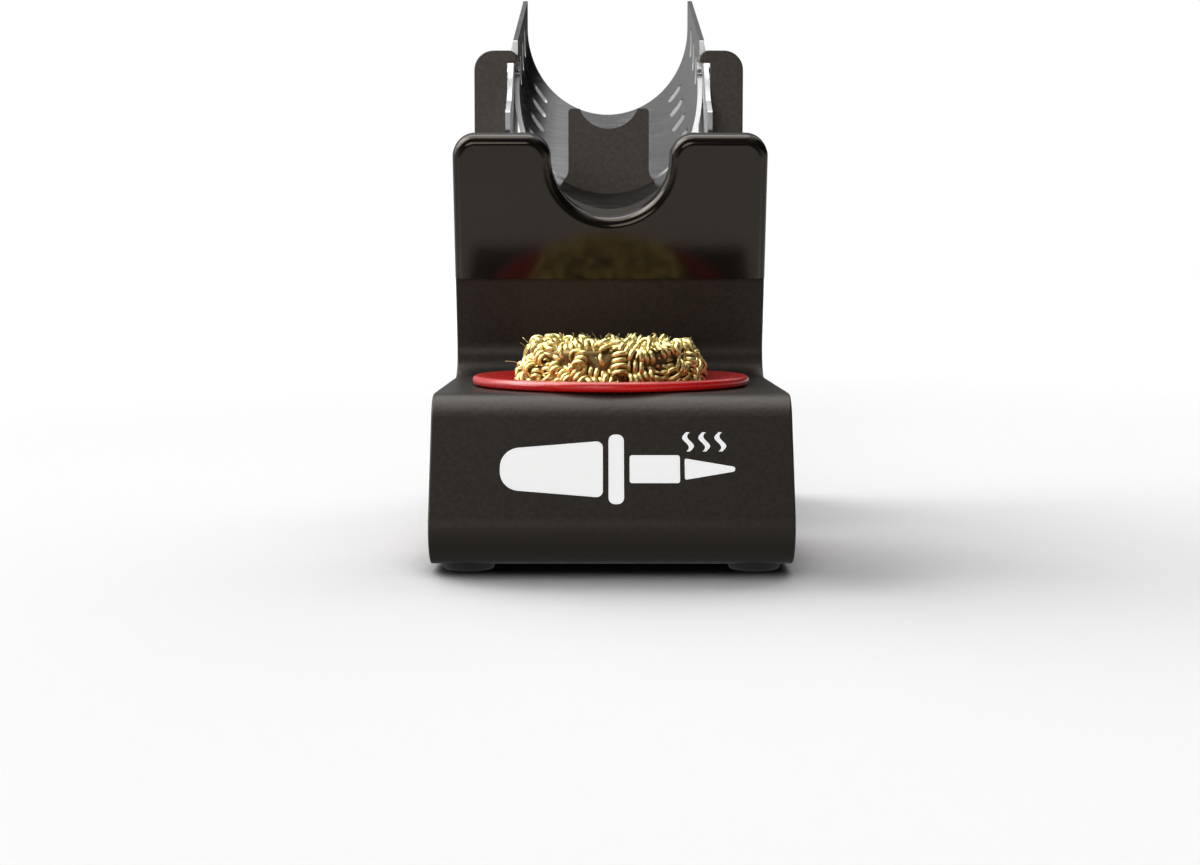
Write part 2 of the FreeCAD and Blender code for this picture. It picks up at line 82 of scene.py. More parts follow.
def new_material(name):
    """A material with its Principled shader: the material, its node tree and the shader."""
    material = bpy.data.materials.new(name)
    material.use_nodes = True
    tree = material.node_tree
    return material, tree, tree.nodes["Principled BSDF"]


def add(tree, kind, inputs=None, **settings):
    """A shader node with its settings. An input is a plain value or another node's output."""
    made = tree.nodes.new("ShaderNode" + kind)
    for key, value in settings.items():
        setattr(made, key, value)
    fill(tree, made, inputs or {})
    return made


def fill(tree, made, inputs):
    """Links or sets some inputs of a shader node."""
    for key, value in inputs.items():
        if isinstance(value, bpy.types.NodeSocket):
            tree.links.new(value, made.inputs[key])
        else:
            made.inputs[key].default_value = value


def place(tree, turn=(0, 0, 0), scale=(1, 1, 1)):
    """The point in the object's own frame, turned and stretched."""
    point = add(tree, "TexCoord").outputs["Object"]
    mapped = add(tree, "Mapping", {"Vector": point, "Rotation": turn, "Scale": scale})
    return mapped.outputs["Vector"]


def axes(tree, vector):
    """A vector's X, Y and Z."""
    parts = add(tree, "SeparateXYZ", {"Vector": vector})
    return [parts.outputs[axis] for axis in "XYZ"]


def grain(tree, vector, size, detail=2.0, roughness=0.5):
    """Noise whose features are about size metres across, from 0 to 1."""
    made = add(tree, "TexNoise", {"Vector": vector, "Scale": 1 / size, "Detail": detail,
                                  "Roughness": roughness})
    return made.outputs["Fac"]


def between(tree, fac, low, high, start=0.3, end=0.7):
    """A number that goes from low to high as fac goes from start to end."""
    made = add(tree, "MapRange", {"Value": fac, "From Min": start, "From Max": end,
                                  "To Min": low, "To Max": high})
    return made.outputs["Result"]


def combine(tree, operation, *terms):
    """The terms joined by one math operation."""
    result = terms[0]
    for term in terms[1:]:
        result = add(tree, "Math", {0: result, 1: term}, operation=operation).outputs[0]
    return result


def blend(tree, fac, first, second):
    """From the first number to the second as fac goes from 0 to 1."""
    made = add(tree, "Mix", {"Factor": fac, "A": first, "B": second}, data_type="FLOAT")
    return made.outputs["Result"]


MIX_FACTOR, MIX_FIRST, MIX_SECOND, MIX_RESULT = 0, 6, 7, 2      # a Mix node's colour sockets


def blend_colours(tree, fac, first, second):
    """From the first colour to the second as fac goes from 0 to 1."""
    made = add(tree, "Mix", {MIX_FACTOR: fac, MIX_FIRST: first, MIX_SECOND: second},
               data_type="RGBA")
    return made.outputs[MIX_RESULT]


def raised(tree, height, depth, normal=None):
    """A bump normal, over another one if given: height from 0 to 1 stands for depth metres."""
    inputs = {"Height": height, "Distance": depth, "Strength": 1.0}
    if normal is not None:
        inputs["Normal"] = normal
    return add(tree, "Bump", inputs).outputs["Normal"]


def rgb(red, green, blue):
    return (red, green, blue, 1.0)


def grey(level):
    return rgb(level, level, level)


# ---- materials ----------------------------------------------------------------------
COAT_WARMTH = (1.0, 0.85, 0.71)  # red, green and blue of the powder coat, as shares of its albedo


def powder_coat(name, albedo, cell_depth):
    """Black-brown textured powder coat: leathery cells under a fine grain. Close to the floor it
    has painted shade: there it is darker and duller."""
    material, tree, shader = new_material(name)
    point = place(tree)
    cells = add(tree, "TexVoronoi", {"Vector": point, "Scale": 1 / (1.1 * MM)},
                feature="SMOOTH_F1").outputs["Distance"]
    fine = grain(tree, point, size=0.3 * MM)
    patches = grain(tree, point, size=18 * MM)
    # light and middle are the coat's own tones; dark is the tint of the painted shade near the
    # floor.
    light, middle, dark = (rgb(*(share * albedo * part for part in COAT_WARMTH))
                           for share in (1.0, 0.7, 0.55))
    tint = blend_colours(tree, between(tree, cells, 0.0, 1.0, start=0.1, end=0.6), light, middle)
    tint = blend_colours(tree, between(tree, patches, 0.0, 0.3), tint, middle)
    height = axes(tree, point)[2]
    # Painted shade: below 15 mm over the floor the coat blends towards the dark tint and gets
    # rougher, fully so below 8 mm.
    low = between(tree, height, 1.0, 0.0, start=8 * MM, end=15 * MM)
    tint = blend_colours(tree, low, tint, dark)
    roughness = combine(tree, "ADD", between(tree, fine, 0.33, 0.43),
                        between(tree, low, 0.0, 0.25, start=0.0, end=1.0))
    fill(tree, shader, {
        "Base Color": tint,
        "Roughness": roughness,
        "Specular IOR Level": 0.26,
        "Specular Tint": rgb(1.0, 0.9, 0.8),
        "Normal": raised(tree, fine, 0.010 * MM, raised(tree, cells, cell_depth)),
    })
    return material


def gloss_plastic():
    """Moulded gloss black with a faint flow of the surface and a few fine wipe marks."""
    material, tree, shader = new_material("gloss_plastic")
    point = place(tree)
    flow = grain(tree, point, size=26 * MM, detail=1.0)
    wiped = place(tree, turn=(0.3, 0.2, 0.5), scale=(1, 9, 1))
    wipes = grain(tree, wiped, size=3 * MM, detail=4.0, roughness=0.7)
    fill(tree, shader, {
        "Base Color": blend_colours(tree, between(tree, flow, 0.0, 1.0),
                                    rgb(0.006, 0.005, 0.004), rgb(0.009, 0.0075, 0.006)),
        "Roughness": between(tree, wipes, 0.10, 0.17, start=0.35, end=0.8),
        "Specular IOR Level": 0.38,
        "Specular Tint": rgb(1.0, 0.86, 0.72),
        "Normal": raised(tree, flow, 0.05 * MM),
    })
    return material


def steel_grey(level, blueness):
    """A grey with a trace of blue."""
    return rgb(level, level, level + blueness)


def brushed_steel(name, stretch, lightest=0.62, depth=0.006 * MM, rough=0.15, line=0.16 * MM):
    """Stainless sheet with brush lines. The lines run along the axes with a small stretch."""
    material, tree, shader = new_material(name)
    brushed = place(tree, scale=stretch)
    lines = grain(tree, brushed, size=line, detail=4.0, roughness=0.75)
    bands = grain(tree, brushed, size=5 * line, detail=3.0, roughness=0.6)
    smudge = grain(tree, place(tree), size=14 * MM, detail=3.0)
    between_lines, line_tops, band = (steel_grey(lightest * share, lightest * 0.01)
                                      for share in (0.62, 1.0, 0.6))
    tone = between(tree, lines, 0.0, 1.0, start=0.25, end=0.75)
    tint = blend_colours(tree, tone, between_lines, line_tops)
    tint = blend_colours(tree, between(tree, bands, 0.0, 0.35), tint, band)
    fill(tree, shader, {
        "Base Color": tint,
        "Metallic": 1.0,
        "Roughness": combine(tree, "ADD", between(tree, lines, rough, rough + 0.1),
                             between(tree, smudge, 0.0, 0.06)),
        "Normal": raised(tree, lines, depth),
    })
    return material


def trough_steel():
    """Brushed sheet whose front-facing cut edges are pale and matt, partly a painted highlight,
    with painted shade making them near-black at the lowest lip.
    """
    material = brushed_steel("brushed_trough", (0.03, 0.03, 1.0), lightest=0.38,
                             depth=0.045 * MM, rough=0.12, line=0.7 * MM)
    tree = material.node_tree
    shader = tree.nodes["Principled BSDF"]
    normal_y = axes(tree, add(tree, "TexCoord").outputs["Normal"])[1]
    # Faces turned to the front: the matt cut edge, lightened with a painted highlight for the
    # light they would reflect.
    pale_edge_and_highlight = between(tree, normal_y, 1.0, 0.0, start=-0.75, end=-0.6)
    # Painted shade: near the lowest lip those front-facing faces go near-black.
    height = axes(tree, place(tree))[2]
    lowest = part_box("tool_cradle")[0].z
    near_lip = between(tree, height, 1.0, 0.0, start=lowest + 12 * MM, end=lowest + 16 * MM)
    lip = combine(tree, "MULTIPLY", pale_edge_and_highlight, near_lip)
    # pale is the cut edge with its painted highlight; dull is the painted shade at the lip.
    for socket, pale, dull in (("Base Color", rgb(0.93, 0.92, 0.90), rgb(0.03, 0.027, 0.024)),
                               ("Roughness", grey(0.5), grey(0.45)),
                               ("Metallic", grey(0.1), grey(0.9))):
        links = shader.inputs[socket].links
        plain = links[0].from_socket if links else grey(1.0)
        mixed = blend_colours(tree, pale_edge_and_highlight, plain, pale)
        mixed = blend_colours(tree, lip, mixed, dull)
        tree.links.new(mixed, shader.inputs[socket])
    return material


def plated_steel():
    """Zinc plate, slightly cloudy."""
    material, tree, shader = new_material("plated_steel")
    cloud = grain(tree, place(tree), size=0.8 * MM, detail=3.0)
    fill(tree, shader, {
        "Base Color": blend_colours(tree, cloud, rgb(0.50, 0.51, 0.53), rgb(0.70, 0.71, 0.72)),
        "Metallic": 1.0,
        "Roughness": between(tree, cloud, 0.22, 0.38),
        "Normal": raised(tree, cloud, 0.006 * MM),
    })
    return material


def black_oxide():
    """Blackened screw steel, a little brighter where it is worn."""
    material, tree, shader = new_material("black_oxide")
    wear = grain(tree, place(tree), size=0.5 * MM, detail=4.0, roughness=0.7)
    fill(tree, shader, {
        "Base Color": blend_colours(tree, between(tree, wear, 0.0, 1.0, start=0.45, end=0.8),
                                    rgb(0.018, 0.018, 0.02), rgb(0.08, 0.08, 0.085)),
        "Metallic": 0.8,
        "Roughness": between(tree, wear, 0.36, 0.52),
        "Normal": raised(tree, wear, 0.005 * MM),
    })
    return material


def red_silicone():
    """Moulded red silicone: a satin skin with a faint moulding texture."""
    material, tree, shader = new_material("red_silicone")
    point = place(tree)
    mottle = grain(tree, point, size=7 * MM, detail=3.0)
    skin = grain(tree, point, size=0.35 * MM)
    fill(tree, shader, {
        "Base Color": blend_colours(tree, between(tree, mottle, 0.0, 1.0),
                                    rgb(0.74, 0.010, 0.010), rgb(0.84, 0.015, 0.014)),
        "Roughness": between(tree, skin, 0.24, 0.34),
        "Specular IOR Level": 0.5,
        "Coat Weight": 0.4,
        "Coat Roughness": 0.18,
        "Subsurface Weight": 0.12,
        "Subsurface Scale": 1.2 * MM,
        "Subsurface Radius": (1.0, 0.2, 0.1),
        "Normal": raised(tree, skin, 0.008 * MM),
    })
    return material


def brass(name, bright, dull):
    """Turned brass: bright with duller streaks from the cutting tool."""
    material, tree, shader = new_material(name)
    point = place(tree)
    streak = grain(tree, point, size=0.5 * MM, detail=3.0, roughness=0.6)
    patch = grain(tree, point, size=5 * MM)
    tint = blend_colours(tree, between(tree, streak, 0.0, 1.0), dull, bright)
    tint = blend_colours(tree, between(tree, patch, 0.0, 0.35), tint, dull)
    fill(tree, shader, {
        "Base Color": tint,
        "Metallic": 1.0,
        "Roughness": between(tree, streak, 0.30, 0.44),
        "Normal": raised(tree, streak, 0.02 * MM),
    })
    return material


def foot_rubber():
    """Black rubber, matt and slightly uneven."""
    material, tree, shader = new_material("foot_rubber")
    skin = grain(tree, place(tree), size=0.4 * MM, detail=3.0)
    fill(tree, shader, {
        "Base Color": blend_colours(tree, skin, grey(0.005), grey(0.012)),
        "Roughness": between(tree, skin, 0.7, 0.9),
        "Normal": raised(tree, skin, 0.02 * MM),
    })
    return material


def white_ink():
    """Screen-printed white, thin enough to take the grain of the coat under it. A faint glow
    keeps it white on the shaded front."""
    material, tree, shader = new_material("white_ink")
    pebbles = grain(tree, place(tree), size=0.9 * MM, detail=3.0, roughness=0.6)
    fill(tree, shader, {
        "Base Color": blend_colours(tree, pebbles, rgb(0.92, 0.92, 0.91), rgb(0.96, 0.96, 0.95)),
        "Emission Color": grey(1),
        "Emission Strength": 0.3,
        "Roughness": between(tree, pebbles, 0.45, 0.6),
        "Normal": raised(tree, pebbles, 0.02 * MM),
    })
    return material


# ---- brass wool ---------------------------------------------------------------------
WOOL_LOW, WOOL_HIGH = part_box("brass_wool")
WOOL_R = (WOOL_HIGH.x - WOOL_LOW.x) / 2
WOOL_AXIS = Vector(((WOOL_LOW.x + WOOL_HIGH.x) / 2, (WOOL_LOW.y + WOOL_HIGH.y) / 2, 0))
DOME_DROP = 11.0 * MM            # over this height the pad draws in towards its top
DOME_FOOT = WOOL_HIGH.z - DOME_DROP
DOME_INSET = 3.4 * MM
DOME_POWER = 1.5                 # how the inset grows towards the top
DOME_LEAN = 0.5                  # how far the skin there faces upwards
TOP_INSET = DOME_INSET + 1.5 * MM
BOTTOM_INSET = 2.0 * MM
SKIN_DEPTH = 2.6 * MM            # the places for curls lie up to this far under the skin
HILL_HALF = 1.3 * MM             # half the height of the hills on the pad's top and bottom
HILL_WIDTH = 6 * MM
SIDE_BANDS = {"side": (0.55, 0.95), "lower": (0.05, 0.56)}      # shares of the pad's height

RIBBON_HALF = 0.66 * MM          # half the width of a turning
RIBBON_THICK = 0.50 * MM         # half its thickness
TURN_PITCH = 1.60 * MM
TURNS = (2.2, 4.6)
COIL_RADII = (1.2 * MM, 1.9 * MM)
SHARPEST_BEND = 0.10 / MM
CURL_TILT = 0.45                 # how far a curl may stand up from the skin
SWELL = 0.12                     # how much a curl's radius goes up and down along it
SWELLS_PER_TURN = 0.37
TAPER_TURNS = 1 / 3              # a curl narrows towards its end over this part of a turn
TIP = 0.12                       # where the narrowing stops, before it is rounded
TAPER_POWER = 0.6                # rounds the narrowing
RING = 8                         # corners round a turning
STEPS = 14                       # steps in one turn of a curl
TRIES = 30                       # places tried for each curl that is wanted
CURL_ZONES = (                   # piece, zone, curls, least distance between their places
    ("wool_curls_top", "top", 88, 3.5 * MM),
    ("wool_curls_shoulder", "side", 140, 3.3 * MM),
    ("wool_curls_lower", "lower", 130, 4.0 * MM),
    ("wool_curls_under", "bottom", 80, 3.8 * MM),
)

HAIR_COUNT = 70
HAIR_RADIUS = 0.11 * MM
HAIR_ROOT = 3.2 * MM             # how far under its place a hair starts
HAIR_LENGTHS = (4.5 * MM, 7.0 * MM)
HAIR_STEPS = 7
HAIR_LEAN = 0.55
HAIR_BOW = 0.35                  # how far its end bends aside, as a share of its length
HAIR_THINNING = 0.75             # the part of its radius that it loses towards the end
HAIRS_ON_TOP = 0.75              # share of the hairs; the rest stand on the shoulder

CORE_INSET = 3.4 * MM
CORE_AROUND, CORE_ROWS = 96, 40
CORE_FLAT_SHARE = 0.25           # share of the core's rows on its bottom, and on its top
LUMP_SIZE = 2.2 * MM
LUMP_HEIGHT = 1.3 * MM


def bent_axes(axis, side, bend, along):
    """Where a gently bent axis runs, and which way it points, at distances along it."""
    axis, side = np.array(axis)[None, :], np.array(side)[None, :]
    along = along[:, None]
    direction = axis + bend * along * side
    direction /= np.linalg.norm(direction, axis=1)[:, None]
    return along * axis + 0.5 * bend * along ** 2 * side, direction


def curl_points(rng, centre, axis, coil):
    """The corners of one curl: a ribbon wound round a gently bent axis, pointed at both ends."""
    turns = rng.uniform(*TURNS)
    side = axis.orthogonal().normalized()
    side.rotate(Matrix.Rotation(rng.uniform(0, FULL_TURN), 3, axis))
    bend = rng.uniform(0.0, SHARPEST_BEND)
    t = np.linspace(0, 1, int(turns * STEPS) + 1)
    angle = t * turns * FULL_TURN + rng.uniform(0, FULL_TURN)
    swell = coil * (1 + SWELL * np.sin(angle * SWELLS_PER_TURN + rng.uniform(0, 6)))
    spine, w = bent_axes(axis, side, bend, (t - 0.5) * turns * TURN_PITCH)
    v = np.array(axis.cross(side))[None, :]
    u = np.cross(v, w)
    radial = np.cos(angle)[:, None] * u + np.sin(angle)[:, None] * v
    path = np.array(centre)[None, :] + spine + swell[:, None] * radial
    taper = np.clip(np.minimum(t, 1 - t) * turns / TAPER_TURNS, TIP, 1.0) ** TAPER_POWER
    ring = np.arange(RING) * FULL_TURN / RING
    wide = (RIBBON_HALF * taper)[:, None] * np.cos(ring)[None, :]
    thick = (RIBBON_THICK * taper)[:, None] * np.sin(ring)[None, :]
    return (path[:, None, :] + wide[:, :, None] * w[:, None, :]
            + thick[:, :, None] * radial[:, None, :])


def ring_quads(rings, corners, start=0):
    """Quads between the rings of a tube whose first corner has the number start."""
    faces = []
    for base in range(start, start + (rings - 1) * corners, corners):
        for k in range(corners):
            after = (k + 1) % corners
            faces.append((base + k, base + after, base + corners + after, base + corners + k))
    return faces


def tube_faces(rings, start):
    """The faces of a tube of that many rings, with its two ends closed."""
    last = start + (rings - 1) * RING
    ends = [tuple(start + k for k in reversed(range(RING))), tuple(last + k for k in range(RING))]
    return ring_quads(rings, RING, start) + ends


def mesh_piece(name, points, faces, material, body):
    """A smooth piece on one of the stand's bodies, with its material slot."""
    mesh = bpy.data.meshes.new(name)
    mesh.from_pydata([tuple(p) for p in points], [], faces)
    mesh.polygons.foreach_set("use_smooth", [True] * len(mesh.polygons))
    mesh.materials.append(material)
    mesh.update()
    piece = into_scene(name, mesh)
    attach(piece, body)
    return piece


def skin_radius(level):
    """How far the pad's skin stands from its axis at a height: it draws in near the top."""
    rise = min(max((level - DOME_FOOT) / DOME_DROP, 0.0), 1.0)
    return WOOL_R - DOME_INSET * rise ** DOME_POWER


def surface_spot(rng, zone):
    """A place just under the wool's skin, with the skin's outward direction there."""
    around = rng.uniform(0, FULL_TURN)
    outward = Vector((math.cos(around), math.sin(around), 0))
    depth = rng.uniform(0.0, SKIN_DEPTH)
    if zone in SIDE_BANDS:
        level = WOOL_LOW.z + (WOOL_HIGH.z - WOOL_LOW.z) * rng.uniform(*SIDE_BANDS[zone])
        spot = WOOL_AXIS + outward * (skin_radius(level) - depth) + Vector((0, 0, level))
        lean = DOME_LEAN if level > DOME_FOOT else 0.0
        return spot, (outward + Vector((0, 0, lean))).normalized()
    on_top = zone == "top"
    flat = outward * (WOOL_R - (TOP_INSET if on_top else BOTTOM_INSET)) * math.sqrt(rng.random())
    depth += HILL_HALF * (1 + noise.noise(flat / HILL_WIDTH))
    level = WOOL_HIGH.z - depth if on_top else WOOL_LOW.z + depth
    return WOOL_AXIS + flat + Vector((0, 0, level)), Vector((0, 0, 1 if on_top else -1))


def scatter_curls(rng, zone, wanted, spacing):
    """Places for curls in one zone of the skin, no two closer than spacing."""
    spots = []
    for _ in range(wanted * TRIES):
        spot, outward = surface_spot(rng, zone)
        if all((spot - other).length > spacing for other, _ in spots):
            spots.append((spot, outward))
        if len(spots) == wanted:
            break
    return spots


def inside_wool(points):
    """Moves a curl back by as much as it stands out of the wool's cylinder."""
    flat = points.reshape(-1, 3)
    flat[:, 2] -= max(0.0, flat[:, 2].max() - WOOL_HIGH.z)
    flat[:, 2] += max(0.0, WOOL_LOW.z - flat[:, 2].min())
    centre = np.array(WOOL_AXIS)
    offset = flat[:, :2] - centre[None, :2]
    reach = np.linalg.norm(offset, axis=1)
    worst = reach.argmax()
    if reach[worst] > WOOL_R:
        flat[:, :2] -= offset[worst] / reach[worst] * (reach[worst] - WOOL_R)
    return flat


def make_curls(name, zone, wanted, spacing, material):
    """The curls of one zone, as one piece."""
    rng = random.Random(SEED + len(name))
    points, faces, start = [], [], 0
    for spot, outward in scatter_curls(rng, zone, wanted, spacing):
        lying = outward.orthogonal().normalized()
        lying.rotate(Matrix.Rotation(rng.uniform(0, FULL_TURN), 3, outward))
        axis = (lying + outward * rng.uniform(-CURL_TILT, CURL_TILT)).normalized()
        coil = rng.uniform(*COIL_RADII)
        centre = spot - outward * (coil + RIBBON_THICK)
        corners = curl_points(rng, centre, axis, coil)
        faces += tube_faces(len(corners), start)
        flat = inside_wool(corners)
        points.append(flat)
        start += len(flat)
    mesh_piece(name, np.concatenate(points), faces, material, "wool")


def hair_points(rng, root, outward):
    """The corners of one fine strand that bends away as it leaves the pad."""
    lean = Vector((rng.uniform(-1, 1), rng.uniform(-1, 1), rng.uniform(-0.2, 1)))
    way = (outward + lean * HAIR_LEAN).normalized()
    side = way.orthogonal().normalized()
    side.rotate(Matrix.Rotation(rng.uniform(0, FULL_TURN), 3, way))
    across = way.cross(side)
    length = rng.uniform(*HAIR_LENGTHS)
    points = []
    for k in range(HAIR_STEPS):
        t = k / (HAIR_STEPS - 1)
        middle = root + way * length * t + side * length * HAIR_BOW * t * t
        radius = HAIR_RADIUS * (1 - HAIR_THINNING * t)
        for corner in range(RING):
            turn = corner * FULL_TURN / RING
            ray = side * math.cos(turn) + across * math.sin(turn)
            points.append(middle + ray * radius)
    return points


def make_hairs(name, count, material):
    """Fine broken strands that stand a little out of the top and the shoulder."""
    rng = random.Random(SEED)
    points, faces = [], []
    for _ in range(count):
        spot, outward = surface_spot(rng, "top" if rng.random() < HAIRS_ON_TOP else "side")
        faces += tube_faces(HAIR_STEPS, len(points))
        points += hair_points(rng, spot - outward * HAIR_ROOT, outward)
    flat = np.array(points)
    flat[:, 2] = np.minimum(flat[:, 2], WOOL_HIGH.z)
    mesh_piece(name, flat, faces, material, "wool")


def core_profile(low, high):
    """Radius and height of the core's rings, from the middle of its bottom to that of its top."""
    radius = WOOL_R - CORE_INSET
    side_share = 1 - 2 * CORE_FLAT_SHARE
    for k in range(CORE_ROWS + 1):
        t = k / CORE_ROWS
        inward = min(t, 1 - t) / CORE_FLAT_SHARE
        rise = (t - CORE_FLAT_SHARE) / side_share
        yield radius * min(inward, 1.0), low + (high - low) * min(max(rise, 0.0), 1.0)


def make_wool_core(material):
    """The tangle behind the curls: a lumpy closed body inside the wool's cylinder. Its dark brass
    is painted shade.
    """
    low, high = WOOL_LOW.z + CORE_INSET, WOOL_HIGH.z - CORE_INSET
    middle = WOOL_AXIS + Vector((0, 0, (low + high) / 2))
    points = []
    for radius, level in core_profile(low, high):
        for k in range(CORE_AROUND):
            turn = FULL_TURN * k / CORE_AROUND
            spot = Vector((radius * math.cos(turn), radius * math.sin(turn), level)) + WOOL_AXIS
            push = noise.noise(spot / LUMP_SIZE) * LUMP_HEIGHT
            points.append(spot + (spot - middle).normalized() * push)
    faces = ring_quads(CORE_ROWS + 1, CORE_AROUND)
    core = mesh_piece("wool_shade_core", points, faces, material, "wool")
    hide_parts("brass_wool")


def make_wool():
    """The pad: a core in painted shade, curls in four zones of its skin and some loose hairs."""
    bright = brass("brass_curls", rgb(0.93, 0.79, 0.34), rgb(0.64, 0.50, 0.19))
    # Painted shade: the core's brass is darkened to stand for the shade deep inside the pad.
    dark = brass("brass_core_painted_shade", rgb(0.20, 0.13, 0.05), rgb(0.06, 0.035, 0.015))
    make_wool_core(dark)
    for curls in CURL_ZONES:
        make_curls(*curls, bright)
    make_hairs("wool_hairs", HAIR_COUNT, bright)


# ---- front pictogram ----------------------------------------------------------------
MARK_CENTRE_X = 1.4 * MM
MARK_CENTRE_Z = 26.0 * MM
INK = 0.04 * MM
INK_GAP = INK / 4                # keeps the ink's back clear of the face
ARC_STEPS = 10
WAVE_STEPS = 16
WAVE_TIP = 0.12                  # keeps a stroke's ends from narrowing to nothing
HEAT_X = (17.5, 21.5, 25.5)      # the rising strokes, in millimetres from the mark's middle


def arc(cx, cy, radius, start, end):
    """Points on an arc, in degrees."""
    span = [math.radians(start + (end - start) * k / ARC_STEPS) for k in range(ARC_STEPS + 1)]
    return [(cx + radius * math.cos(a), cy + radius * math.sin(a)) for a in span]


def tapered_bar(ends, halves, rounds):
    """A bar along X with rounded corners. Each pair is for its left and its right end: where
    the end is, half the bar's height there, and how round the corners are."""
    (left, right), (half_left, half_right), (round_left, round_right) = ends, halves, rounds
    return (arc(left + round_left, half_left - round_left, round_left, 180, 90)
            + arc(right - round_right, half_right - round_right, round_right, 90, 0)
            + arc(right - round_right, -half_right + round_right, round_right, 0, -90)
            + arc(left + round_left, -half_left + round_left, round_left, -90, -180))


def wave(cx, bottom, height, half, sway):
    """A wavy upright stroke, for rising heat."""
    rise = [k / WAVE_STEPS for k in range(WAVE_STEPS + 1)]
    middle = [(cx + sway * math.sin(FULL_TURN * t), bottom + height * t) for t in rise]
    width = [half * math.sin(math.pi * min(max(t, WAVE_TIP), 1 - WAVE_TIP)) ** 0.5 for t in rise]
    left = [(x - w, y) for (x, y), w in zip(middle, width)]
    right = [(x + w, y) for (x, y), w in zip(middle, width)]
    return left + right[::-1]


def pictogram():
    """Outlines, in millimetres, of a plain drawing of a soldering iron with rising heat."""
    handle = tapered_bar(ends=(-29.0, -3.6), halves=(5.6, 7.2), rounds=(5.0, 1.6))
    collar = tapered_bar(ends=(-2.2, 1.6), halves=(9.0, 9.0), rounds=(1.6, 1.6))
    barrel = tapered_bar(ends=(3.0, 15.4), halves=(3.6, 3.6), rounds=(0.6, 0.6))
    tip = tapered_bar(ends=(16.6, 29.0), halves=(2.7, 0.7), rounds=(0.4, 0.6))
    heat = [wave(x, bottom=4.6, height=5.0, half=0.75, sway=0.8) for x in HEAT_X]
    return [handle, collar, barrel, tip] + heat


def make_front_mark(material):
    """The pictogram as a thin layer of ink on the leaning front face."""
    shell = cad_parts["base_shell"]
    before_front = Vector((MARK_CENTRE_X, CAD_LOW.y - 100 * MM, MARK_CENTRE_Z))
    _, spot, normal, _ = shell.ray_cast(before_front, Vector((0, 1, 0)))
    across = Vector((1, 0, 0))
    up = normal.cross(across).normalized()
    made = bmesh.new()
    for outline in pictogram():
        corners = [spot + across * x * MM + up * y * MM + normal * INK_GAP for x, y in outline]
        face = made.faces.new([made.verts.new(c) for c in corners])
        solid = bmesh.ops.extrude_face_region(made, geom=[face])
        lifted = [g for g in solid["geom"] if isinstance(g, bmesh.types.BMVert)]
        bmesh.ops.translate(made, verts=lifted, vec=normal * INK)
    bmesh.ops.recalc_face_normals(made, faces=made.faces)
    mesh = bpy.data.meshes.new("front_mark")
    made.to_mesh(mesh)
    made.free()
    mesh.materials.append(material)
    mark = into_scene("front_mark", mesh)
    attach(mark, "stand")


# ---- camera, floor and light --------------------------------------------------------
CAMERA_SIDE = -2.9 * MM
CAMERA_BACK = 458.9 * MM         # from the stand's front
CAMERA_HEIGHT = 73.9 * MM
CAMERA_DOWN = 4.78               # degrees
LENS, SENSOR_WIDTH = 56.8, 36.0  # as a camera's are given, in millimetres
FLOOR_REACH = 40.0
FLOOR_WHITE = 0.90
CONTACT_REACH = 45 * MM          # things closer to the floor than this paint a contact shadow on it
MATT_SHARE = 0.3                 # of the light around the stand

SUNS = (                         # name, way the light goes, softness in degrees, shade, shine
    ("back_left", (0.40, -0.72, -0.57), 38.0, 2.0, 0.0),
    ("back_right", (-0.25, -0.78, -0.58), 38.0, 1.0, 0.0),
    ("back_side", (0.72, -0.50, -0.48), 45.0, 1.45, 0.0),
    ("left", (0.80, -0.05, -0.50), 55.0, 0.0, 1.5),
    ("high_left", (0.72, 0.12, -0.68), 50.0, 0.0, 2.35),
    ("overhead", (0.30, -0.15, -0.94), 70.0, 0.15, 3.2),
    ("front", (0.2, 1.0, -0.13), 24.0, 1.6, 0.5),
)
BACKDROP = (                     # the X of a direction, and how bright the backdrop is there
    (-1.0, 1.1), (-0.8, 0.8), (-0.5, 0.36), (0.0, 0.28), (0.2, 0.42), (0.36, 1.2), (0.5, 0.6),
    (0.7, 0.0),
)


def make_camera():
    """The photo's view: close, level with the stand and turned slightly down."""
    data = bpy.data.cameras.new("camera")
    data.lens = LENS
    data.sensor_width = SENSOR_WIDTH
    camera = into_scene("camera", data)
    camera.location = (CAMERA_SIDE, CAD_LOW.y - CAMERA_BACK, CAMERA_HEIGHT)
    camera.rotation_euler = (math.radians(90 - CAMERA_DOWN), 0, 0)
    bpy.context.scene.camera = camera


def pale_floor():
    """White that fades into the white backdrop far behind, with a painted contact shadow: it is
    darker where something stands close over it."""
    material, tree, shader = new_material("pale_floor")
    distance = add(tree, "VectorMath", {0: add(tree, "TexCoord").outputs["Object"]},
                   operation="LENGTH").outputs["Value"]
    # Painted contact shadow: ambient occlusion darkens the floor's colour towards black under and
    # beside the stand.
    open_above = add(tree, "AmbientOcclusion", {"Distance": CONTACT_REACH}, samples=8)
    clear_of_painted_shadow = between(tree, open_above.outputs["AO"], 0.0, 1.0, start=0.12, end=0.9)
    fill(tree, shader, {
        "Base Color": blend_colours(tree, clear_of_painted_shadow, grey(0), grey(FLOOR_WHITE)),
        "Roughness": 0.8,
        "Specular IOR Level": 0.1,
        "Emission Color": grey(1),
        "Emission Strength": between(tree, distance, 0.0, 0.15, start=0.4, end=2.0),
    })
    return material


def make_floor():
    """A wide pale floor. It shows its shadows, but the light that the stand gets from below
    comes from the world, so that it stays even."""
    made = bmesh.new()
    bmesh.ops.create_grid(made, x_segments=1, y_segments=1, size=FLOOR_REACH)
    mesh = bpy.data.meshes.new("floor")
    made.to_mesh(mesh)
    made.free()
    mesh.materials.append(pale_floor())
    floor = into_scene("floor", mesh)
    floor.visible_diffuse = False
    floor.visible_glossy = False


